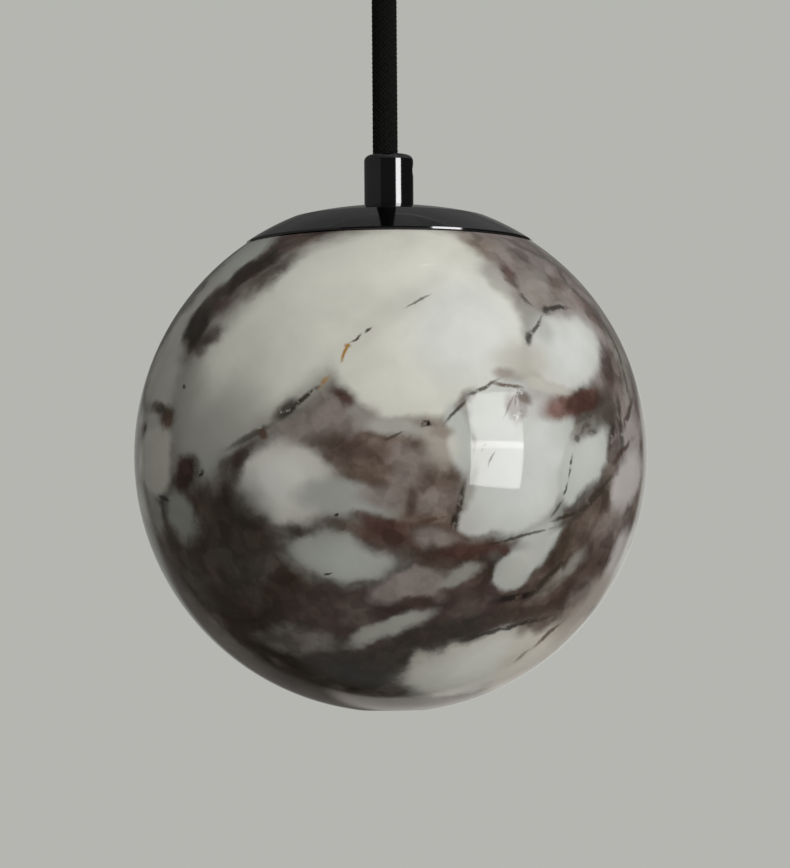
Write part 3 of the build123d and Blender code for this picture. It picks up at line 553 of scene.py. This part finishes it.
def lay_rubble(shader, stone, place, crisp):
    """Breaks the dark parts into a fine rubble of brown and grey."""
    pairs = [("Vector", crisp), ("Scale", 19.0), ("Smoothness", 0.5)]
    rubble = shader.add("TexVoronoi", pairs, out="Color", feature="SMOOTH_F1")
    grain = shader.noise(crisp, 34.0, 5.0, 0.65)
    rubble = shader.step(shader.maths("ADD", rubble, grain), 0.62, 1.38)
    dark = shader.step(shader.add("RGBToBW", [(0, stone.colour)]), 0.32, 0.14)
    red = shader.step(shader.noise(place, 8.0, 4.0), 0.5, 0.62, 0.0, 0.2)
    stone.colour = shader.mix(shader.product(red, dark), stone.colour, RED_BROWN)
    strength = shader.product(dark, RUBBLE_COVER)
    coarse = shader.ramp(rubble, (0.0, RUBBLE_DARK), (1.0, RUBBLE_LIGHT))
    coarse = shader.mix(1.0, stone.colour, coarse, "MULTIPLY")
    stone.colour = shader.mix(strength, stone.colour, coarse)


def lay_veins(shader, stone, place, crisp):
    """Lays thin veins, which break up along their length."""
    broken = shader.noise(place, 26.0, 3.0)
    plain = stone.colour
    stone.place = crisp
    for x, y, half_l, half_w, tilt, tone, cover in VEINS:
        edge = VEIN_EDGE * min(half_l, half_w)
        stone.lay_seen(x, y, half_l, half_w, tilt, tone, edge, cover)
    stone.colour = shader.mix(shader.step(broken, 0.32, 0.46), plain, stone.colour)


def stone_material():
    material, shader = new_material("breccia_marble", Roughness=0.06, IOR=1.5)
    coords = shader.add("TexCoord", out="Object")
    pairs = [("Vector", coords), ("Location", GLOBE_MIDDLE), ("Scale", (GLOBE_R,) * 3)]
    place = shader.add("Mapping", pairs, vector_type="TEXTURE")

    # Wavering edges
    broad = shader.waver(place, 3.2, 2.0)
    fine = shader.waver(place, 14.0, 6.0, 0.62)
    bent = shader.bend(shader.bend(place, broad, BROAD_WARP), fine, FINE_WARP)
    crisp = shader.bend(place, fine, VEIN_WARP)

    # Mottled ground of small clouded fragments
    cloud = shader.noise(bent, 3.4, 5.0, 0.55, 0.3)
    pairs = [("Vector", bent), ("Scale", 8.0), ("Smoothness", 1.0)]
    fragment = shader.add("TexVoronoi", pairs, out="Color", feature="SMOOTH_F1")
    ground = shader.ramp(
        cloud, (0.32, DEEP), (0.46, DARK_OLIVE), (0.60, PURPLE_BROWN), (0.78, MAUVE)
    )
    stone = Stone(shader, bent, ground)
    for feature in GROUND:
        stone.lay_seen(*feature)
    lighter = shader.step(fragment, 0.40, 0.75, 0.0, 0.20)
    stone.colour = shader.mix(lighter, stone.colour, LIGHT_FRAGMENT)
    darker = shader.step(fragment, 0.48, 0.25, 0.0, 0.30)
    stone.colour = shader.mix(darker, stone.colour, DARK_FRAGMENT)
    for feature in CLASTS + DARK_PATCHES:
        stone.lay_seen(*feature)
    stone.colour = unseen_sides(shader, place, bent, ground, stone.colour)
    lay_rubble(shader, stone, place, crisp)

    # Cloudy all over
    veil = shader.noise(place, 5.0, 4.0, 0.5, 0.3)
    veil = shader.step(veil, 0.25, 0.75, 0.92, 1.05)
    stone.colour = shader.mix(1.0, stone.colour, veil, "MULTIPLY")
    lay_veins(shader, stone, place, crisp)

    shader.surface("Base Color", stone.colour)
    polish = shader.step(cloud, 0.3, 0.7, 0.035, 0.08)
    shader.surface("Roughness", polish)
    return material


def chrome_material(name, dark, light, rough=(0.045, 0.10)):
    """Polished or satin metal with faint wiping marks."""
    material, shader = new_material(name, Metallic=1.0)
    coords = shader.add("TexCoord", out="Object")
    wipe = shader.noise(coords, 90.0, 4.0)
    tint = shader.ramp(wipe, (0.3, dark), (0.7, light))
    shader.surface("Base Color", tint)
    shader.surface("Roughness", shader.step(wipe, 0.3, 0.75, *rough))
    return material


def braid_material():
    material, shader = new_material(
        "textile_cord", Roughness=0.85, Specular_IOR_Level=0.12, Sheen_Weight=0.02
    )
    coords = shader.add("TexCoord", out="Object")
    yarn = shader.noise(coords, 2600.0, 2.0)
    tint = shader.ramp(yarn, (0.3, srgb(14, 14, 13)), (0.75, srgb(30, 30, 28)))
    shader.surface("Base Color", tint)
    shader.surface("Normal", shader.bump(yarn, 0.05 * MM, 0.6))
    return material


def worn_material(name, dark, light, rough, grain, relief, **sockets):
    """A finish that varies in tone, roughness and relief with one grain."""
    material, shader = new_material(name, **sockets)
    coords = shader.add("TexCoord", out="Object")
    cloud = shader.noise(coords, grain, 5.0)
    shader.surface("Base Color", shader.ramp(cloud, (0.3, dark), (0.7, light)))
    shader.surface("Roughness", shader.step(cloud, 0.3, 0.7, *rough))
    fine = shader.noise(coords, 6 * grain, 3.0)
    shader.surface("Normal", shader.bump(fine, relief))
    return material


def turned_material():
    """Bright metal with the fine rings of a lathe."""
    material, shader = new_material("turned_aluminium", Metallic=1.0)
    coords = shader.add("TexCoord", out="Object")
    across = shader.add("VectorMath", [(0, coords), (1, (1.0, 1.0, 0.9))], operation="MULTIPLY")
    reach = shader.add("VectorMath", [(0, across)], out="Value", operation="LENGTH")
    rings = shader.noise(shader.add("CombineXYZ", [(0, reach)]), 2600.0, 2.0)
    tint = shader.ramp(rings, (0.3, srgb(196, 197, 199)), (0.7, srgb(226, 227, 229)))
    shader.surface("Base Color", tint)
    shader.surface("Roughness", shader.step(rings, 0.3, 0.7, 0.2, 0.34))
    shader.surface("Normal", shader.bump(rings, 0.02 * MM))
    return material


def earth_core_material():
    """Green insulation with yellow stripes along it."""
    material, shader = new_material("earth_core", Roughness=0.45)
    coords = shader.add("TexCoord", out="Object")
    bands = shader.add(
        "TexWave", [("Vector", coords), ("Scale", 120.0), ("Distortion", 0.6)], out=1
    )
    tint = shader.ramp(bands, (0.45, srgb(58, 128, 48)), (0.55, srgb(218, 196, 52)))
    shader.surface("Base Color", tint)
    shader.surface("Normal", shader.bump(shader.noise(coords, 900.0), 0.02 * MM))
    return material


def glass_material():
    material, shader = new_material(
        "clear_glass", Transmission_Weight=1.0, IOR=1.46, Roughness=0.03
    )
    coords = shader.add("TexCoord", out="Object")
    cloud = shader.noise(coords, 140.0, 3.0)
    tint = shader.ramp(cloud, (0.3, srgb(244, 247, 246)), (0.7, srgb(252, 253, 252)))
    shader.surface("Base Color", tint)
    shader.surface("Roughness", shader.step(cloud, 0.3, 0.7, 0.02, 0.05))
    return material


def led_board_material():
    """White board with a column of yellow chips on each face."""
    material, shader = new_material("led_board", Roughness=0.5)
    coords = shader.add("TexCoord", out="Object")
    parts = shader.tree.nodes.new("ShaderNodeSeparateXYZ")
    shader.feed(parts.inputs[0], coords)
    row = shader.maths("PINGPONG", parts.outputs["Z"], 2.2 * MM)
    chip = shader.step(row, 1.2 * MM, 1.3 * MM)
    inner = shader.step(shader.maths("ABSOLUTE", parts.outputs["X"]), 1.8 * MM, 1.7 * MM)
    chip = shader.product(chip, inner)
    cloud = shader.noise(coords, 700.0)
    board = shader.ramp(cloud, (0.3, srgb(226, 226, 220)), (0.7, srgb(238, 238, 233)))
    shader.surface("Base Color", shader.mix(chip, board, srgb(232, 196, 70)))
    return material


def finish_nodes():
    """Gives every CAD node the finish of its slot."""
    finishes = {
        "breccia_marble": stone_material(),
        "black_chrome": chrome_material("black_chrome", srgb(116, 116, 117), srgb(126, 126, 127)),
        "textile_cord": braid_material(),
        "turned_aluminium": turned_material(),
        "earth_core": earth_core_material(),
        "clear_glass": glass_material(),
        "led_board": led_board_material(),
        "zinc_steel": worn_material(
            "zinc_steel", srgb(168, 170, 174), srgb(204, 205, 208), (0.24, 0.42), 260.0, 0.01 * MM,
            Metallic=1.0,
        ),
        "brass": worn_material(
            "brass", srgb(176, 138, 70), srgb(212, 176, 104), (0.22, 0.4), 300.0, 0.01 * MM,
            Metallic=1.0,
        ),
        "white_ceramic": worn_material(
            "white_ceramic", srgb(216, 213, 203), srgb(232, 230, 222), (0.45, 0.6), 220.0, 0.02 * MM
        ),
        "white_plastic": worn_material(
            "white_plastic", srgb(222, 222, 217), srgb(234, 234, 230), (0.35, 0.5), 180.0, 0.02 * MM
        ),
        "silicone": worn_material(
            "silicone", srgb(20, 20, 20), srgb(32, 32, 31), (0.5, 0.7), 200.0, 0.02 * MM
        ),
        "brown_core": worn_material(
            "brown_core", srgb(78, 44, 24), srgb(98, 58, 34), (0.4, 0.55), 400.0, 0.02 * MM
        ),
        "blue_core": worn_material(
            "blue_core", srgb(34, 70, 152), srgb(48, 88, 176), (0.4, 0.55), 400.0, 0.02 * MM
        ),
    }
    for part in frame["record"]["subparts"]:
        node = frame["nodes"][part["node"]]
        node.data.materials.clear()
        node.data.materials.append(finishes[part["material_slot"]])

    # The canopy's chrome is satin, and lighter than the cap's
    canopy = frame["nodes"]["canopy_cup"]
    canopy.data.materials[0] = chrome_material(
        "canopy_chrome", srgb(222, 222, 223), srgb(230, 230, 231), (0.30, 0.38)
    )
    return finishes


def cord_route():
    """Points of the cord's centre line, from the lamp grip's mouth up to the flexing point."""
    route = [
        (CORD_X, 0.0, LAMP_MOUTH_Z),
        (CORD_X, 0.0, BEND_Z - STRAIGHT_POINT),
        (CORD_X, 0.0, BEND_Z),
    ]
    data = bpy.data.curves.new("cord_route", "CURVE")
    data.dimensions = "3D"
    spline = data.splines.new("NURBS")
    spline.points.add(len(route) - 1)
    for point, place in zip(spline.points, route):
        point.co = (*place, 1.0)
    spline.order_u = 3
    spline.use_endpoint_u = True
    spline.resolution_u = 16
    line = bpy.data.objects.new("cord_route", data)
    bpy.context.scene.collection.objects.link(line)
    mesh = bpy.data.meshes.new_from_object(line)
    points = [v.co.copy() for v in mesh.vertices]
    bpy.data.objects.remove(line)
    bpy.data.meshes.remove(mesh)
    return points


def along_cord(points, distance):
    """The point at a distance along the line, straight on past its end."""
    for first, second in zip(points, points[1:]):
        run = (second - first).length
        if distance <= run or second is points[-1]:
            return first + (second - first) * (distance / run)
        distance -= run


def add_tube(rings, vertices, faces):
    """Adds a closed tube through rings of equal size to a mesh in the making."""
    sides = len(rings[0])
    start = len(vertices)
    for ring in rings:
        vertices.extend(ring)
    for row in range(len(rings) - 1):
        for side in range(sides):
            here = start + row * sides + side
            beside = start + row * sides + (side + 1) % sides
            faces.append((here, beside, beside + sides, here + sides))
    faces.append(tuple(range(start + sides - 1, start - 1, -1)))
    last = start + (len(rings) - 1) * sides
    faces.append(tuple(range(last, last + sides)))


def cord_axes(points):
    """The cord's direction and two directions across it."""
    axis = (points[-1] - points[0]).normalized()
    side = Vector((1, 0, 0))
    return axis, side, axis.cross(side)


def end_width(past):
    """The cord's width at a distance into its rounded end, as a share."""
    share = max(past, 0) / CORD_END_R
    return math.sqrt(max(1 - share**2, 0.0))


def strand_rings(points, free, strand, way):
    """One flat strand of the braid, wound one way round the cord."""
    axis, side, other = cord_axes(points)
    whole = free + END_REACH * CORD_END_R
    crossing = BRAID_LAY / (2 * CARRIERS)
    steps = int(whole / crossing * STEPS_PER_CROSSING)
    strand_r = CORD_D / 2 - STRAND_T / 2 - WEAVE_RISE
    climb = BRAID_LAY / (2 * math.pi * strand_r)
    rings = []
    for step in range(steps + 1):
        distance = whole * step / steps
        turn = 2 * math.pi * (strand / CARRIERS + way * distance / BRAID_LAY)
        weave = math.cos(math.pi * (distance / crossing + strand)) * way
        small = end_width(distance - free)
        out = side * math.cos(turn) + other * math.sin(turn)
        across = (axis - axis.cross(out) * (way * climb)).normalized()
        lift = out * (strand_r + WEAVE_RISE * weave) * small
        middle = along_cord(points, distance) + lift
        ring = []
        for corner in range(STRAND_SIDES):
            angle = 2 * math.pi * (corner + 0.5) / STRAND_SIDES
            wide = across * (STRAND_W / 2 * math.cos(angle) * max(small, LEAST_STRAND))
            ring.append(middle + wide + out * (STRAND_T / 2 * math.sin(angle)))
        rings.append(ring)
    return rings


def core_rings(points, free):
    """The plain core under the braid."""
    side, other = cord_axes(points)[1:]
    core_r = CORE_SHARE * CORD_D / 2
    stations = [0.0, free / 2, free]
    for number in range(1, END_RINGS + 1):
        stations.append(free + CORD_END_R * number / END_RINGS * END_REACH)
    rings = []
    for distance in stations:
        middle = along_cord(points, distance)
        ring = []
        for corner in range(CORE_SIDES):
            turn = 2 * math.pi * corner / CORE_SIDES
            out = side * math.cos(turn) + other * math.sin(turn)
            ring.append(middle + out * core_r * end_width(distance - free))
        rings.append(ring)
    return rings


def make_cord(finish):
    """A braid of flat strands over a plain core, with a rounded end in the ceiling grip."""
    points = cord_route()
    free = sum((b - a).length for a, b in zip(points, points[1:]))
    vertices = []
    faces = []
    for way in (1, -1):
        for strand in range(CARRIERS):
            add_tube(strand_rings(points, free, strand, way), vertices, faces)
    add_tube(core_rings(points, free), vertices, faces)

    mesh = bpy.data.meshes.new("braided_cord")
    mesh.from_pydata(vertices, [], faces)
    mesh.shade_smooth()
    mesh.materials.append(finish)
    cord = bpy.data.objects.new("braided_cord", mesh)
    bpy.context.scene.collection.objects.link(cord)
    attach(cord, "pendant")
    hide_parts("cord_drop", "cord_bend")


# Studio
BACKDROP = srgb(181, 182, 177)
FLOOR_Z = -0.75
FLOOR_SIZE = 5.0
AMBIENT = 0.36
SOFTBOX_AZIMUTH = 45.8
SOFTBOX_ELEVATION = 4.1
SOFTBOX_DISTANCE = 0.9
SOFTBOX_W = 0.385
SOFTBOX_H = 0.595
SOFTBOX_PANES = [(0.515, 4.2), (0.072, 9.0), (0.413, 6.0)]  # share of the height, radiance
FILL_AZIMUTH = 30.0
FILL_ELEVATION = 65.0
FILL_DISTANCE = 1.1
FILL_SIZE = 0.7
FILL_RADIANCE = 2.8

# Tones of the room that gloss shows
CEILING_LEFT = 0.09
CEILING_RIGHT = 0.17
DARK_ROOM = 0.03
LEFT_WALL = 0.075
PALE_FLOOR = 0.22
FAR_FLOOR = srgb(207, 202, 196)
FAR_WALL = srgb(214, 215, 210)

# Parts of that room, by the x, y or z of the direction: where each begins and where it is full,
# and for some its strength at both
CEILING_SPAN = (-0.6, 0.6)
CEILING_FROM = (0.17, 0.55)
LEFT_WALL_FROM = (-0.58, -0.64)
PALE_FLOOR_FROM = (-0.69, -0.90)
BEHIND_FROM = (0.68, 0.80)
FAR_FLOOR_BOTTOM = (-0.69, -0.63)
FAR_FLOOR_TOP = (-0.12, -0.25)
FAR_FLOOR_SLANT = 0.45  # lean of its left edge
FAR_FLOOR_LEFT = (0.07, 0.15, 0.2, 1.0)
FAR_FLOOR_RIGHT = (0.10, 0.25, 1.0, 0.5)
FAR_WALL_BOTTOM = (-0.25, -0.12)
FAR_WALL_TOP = (0.45, 0.25)
FAR_WALL_LEFT = (-0.60, -0.45)
FAR_WALL_RIGHT = (0.50, 0.38)
FAR_WALL_MIDDLE = (-0.1, 0.1, 0.50, 0.95)
FAR_WALL_SHADE = (0.09, 0.14, 1.0, 0.26)


def towards(azimuth, elevation):
    """The direction to a place round the globe, from the front to the right and up."""
    a = math.radians(azimuth)
    e = math.radians(elevation)
    return Vector((math.sin(a) * math.cos(e), -math.cos(a) * math.cos(e), math.sin(e)))


def area_light(name, middle, target, width, height, radiance):
    data = bpy.data.lights.new(name, "AREA")
    data.shape = "RECTANGLE"
    data.size = width
    data.size_y = height
    data.energy = radiance * math.pi * width * height
    lamp = bpy.data.objects.new(name, data)
    bpy.context.scene.collection.objects.link(lamp)
    lamp.location = middle
    lamp.rotation_mode = "QUATERNION"
    lamp.rotation_quaternion = (target - middle).to_track_quat("-Z", "Y")
    lamp.visible_camera = False
    return lamp


def make_softbox():
    way = towards(SOFTBOX_AZIMUTH, SOFTBOX_ELEVATION)
    middle = GLOBE_MIDDLE + way * SOFTBOX_DISTANCE
    right = Vector((0, 0, 1)).cross(way).normalized()
    up = way.cross(right)
    top = SOFTBOX_H / 2
    for number, (share, radiance) in enumerate(SOFTBOX_PANES):
        height = share * SOFTBOX_H
        place = middle + up * (top - height / 2)
        area_light(f"softbox_{number}", place, place - way, SOFTBOX_W, height, radiance)
        top -= height


def make_fill():
    """Soft light from above that gloss doesn't show."""
    middle = GLOBE_MIDDLE + towards(FILL_AZIMUTH, FILL_ELEVATION) * FILL_DISTANCE
    lamp = area_light("fill", middle, GLOBE_MIDDLE, FILL_SIZE, FILL_SIZE, FILL_RADIANCE)
    lamp.visible_glossy = False


def make_floor():
    data = bpy.data.meshes.new("floor")
    half = FLOOR_SIZE / 2
    corners = [(-half, -half), (half, -half), (half, half), (-half, half)]
    data.from_pydata([(x, y, FLOOR_Z) for x, y in corners], [], [(0, 1, 2, 3)])
    floor = bpy.data.objects.new("floor", data)
    bpy.context.scene.collection.objects.link(floor)
    material, shader = new_material("floor", Roughness=0.8)
    coords = shader.add("TexCoord", out="Object")
    cloud = shader.noise(coords, 1.5, 2.0)
    tint = shader.ramp(cloud, (0.3, srgb(196, 197, 192)), (0.7, srgb(202, 203, 198)))
    shader.surface("Base Color", tint)
    data.materials.append(material)
    floor.visible_glossy = False


def make_world():
    """Grey backdrop behind the lamp, and a dim room round it that only gloss shows."""
    world = bpy.data.worlds.new("studio")
    bpy.context.scene.world = world
    world.use_nodes = True
    shader = Shader(world.node_tree)
    background = world.node_tree.nodes["Background"]
    parts = shader.tree.nodes.new("ShaderNodeSeparateXYZ")
    shader.feed(parts.inputs[0], shader.add("TexCoord", out="Generated"))
    x, y, z = parts.outputs
    ceiling = shader.step(x, *CEILING_SPAN, CEILING_LEFT, CEILING_RIGHT)
    upward = shader.step(z, *CEILING_FROM)
    room = shader.maths("MAXIMUM", DARK_ROOM, shader.product(ceiling, upward))
    room = shader.maths("MAXIMUM", room, shader.step(x, *LEFT_WALL_FROM, 0.0, LEFT_WALL))
    room = shader.maths("MAXIMUM", room, shader.step(z, *PALE_FLOOR_FROM, 0.0, PALE_FLOOR))
    behind = shader.step(y, *BEHIND_FROM)
    slant = shader.maths("SUBTRACT", x, shader.product(z, FAR_FLOOR_SLANT))
    far_floor = shader.product(
        shader.step(z, *FAR_FLOOR_BOTTOM),
        shader.step(z, *FAR_FLOOR_TOP),
        shader.step(slant, *FAR_FLOOR_LEFT),
        shader.step(x, *FAR_FLOOR_RIGHT),
        behind,
    )
    far_wall = shader.product(
        shader.step(z, *FAR_WALL_BOTTOM),
        shader.step(z, *FAR_WALL_TOP),
        shader.step(x, *FAR_WALL_LEFT),
        shader.step(x, *FAR_WALL_RIGHT),
        shader.step(x, *FAR_WALL_MIDDLE),
        shader.step(z, *FAR_WALL_SHADE),
        behind,
    )
    studio = shader.mix(far_floor, shader.mix(far_wall, room, FAR_WALL), FAR_FLOOR)
    rays = shader.tree.nodes.new("ShaderNodeLightPath")
    glossy = rays.outputs["Is Glossy Ray"]
    shiny = shader.maths("MAXIMUM", glossy, rays.outputs["Is Transmission Ray"])
    ambient = (AMBIENT, AMBIENT, AMBIENT, 1.0)
    light = shader.mix(shiny, ambient, studio)
    seen = rays.outputs["Is Camera Ray"]
    shader.feed(background.inputs[0], shader.mix(seen, light, BACKDROP))


make_camera()
finishes = finish_nodes()
make_cord(finishes["textile_cord"])
make_softbox()
make_fill()
make_floor()
make_world()
bpy.context.scene.view_settings.view_transform = "Standard"
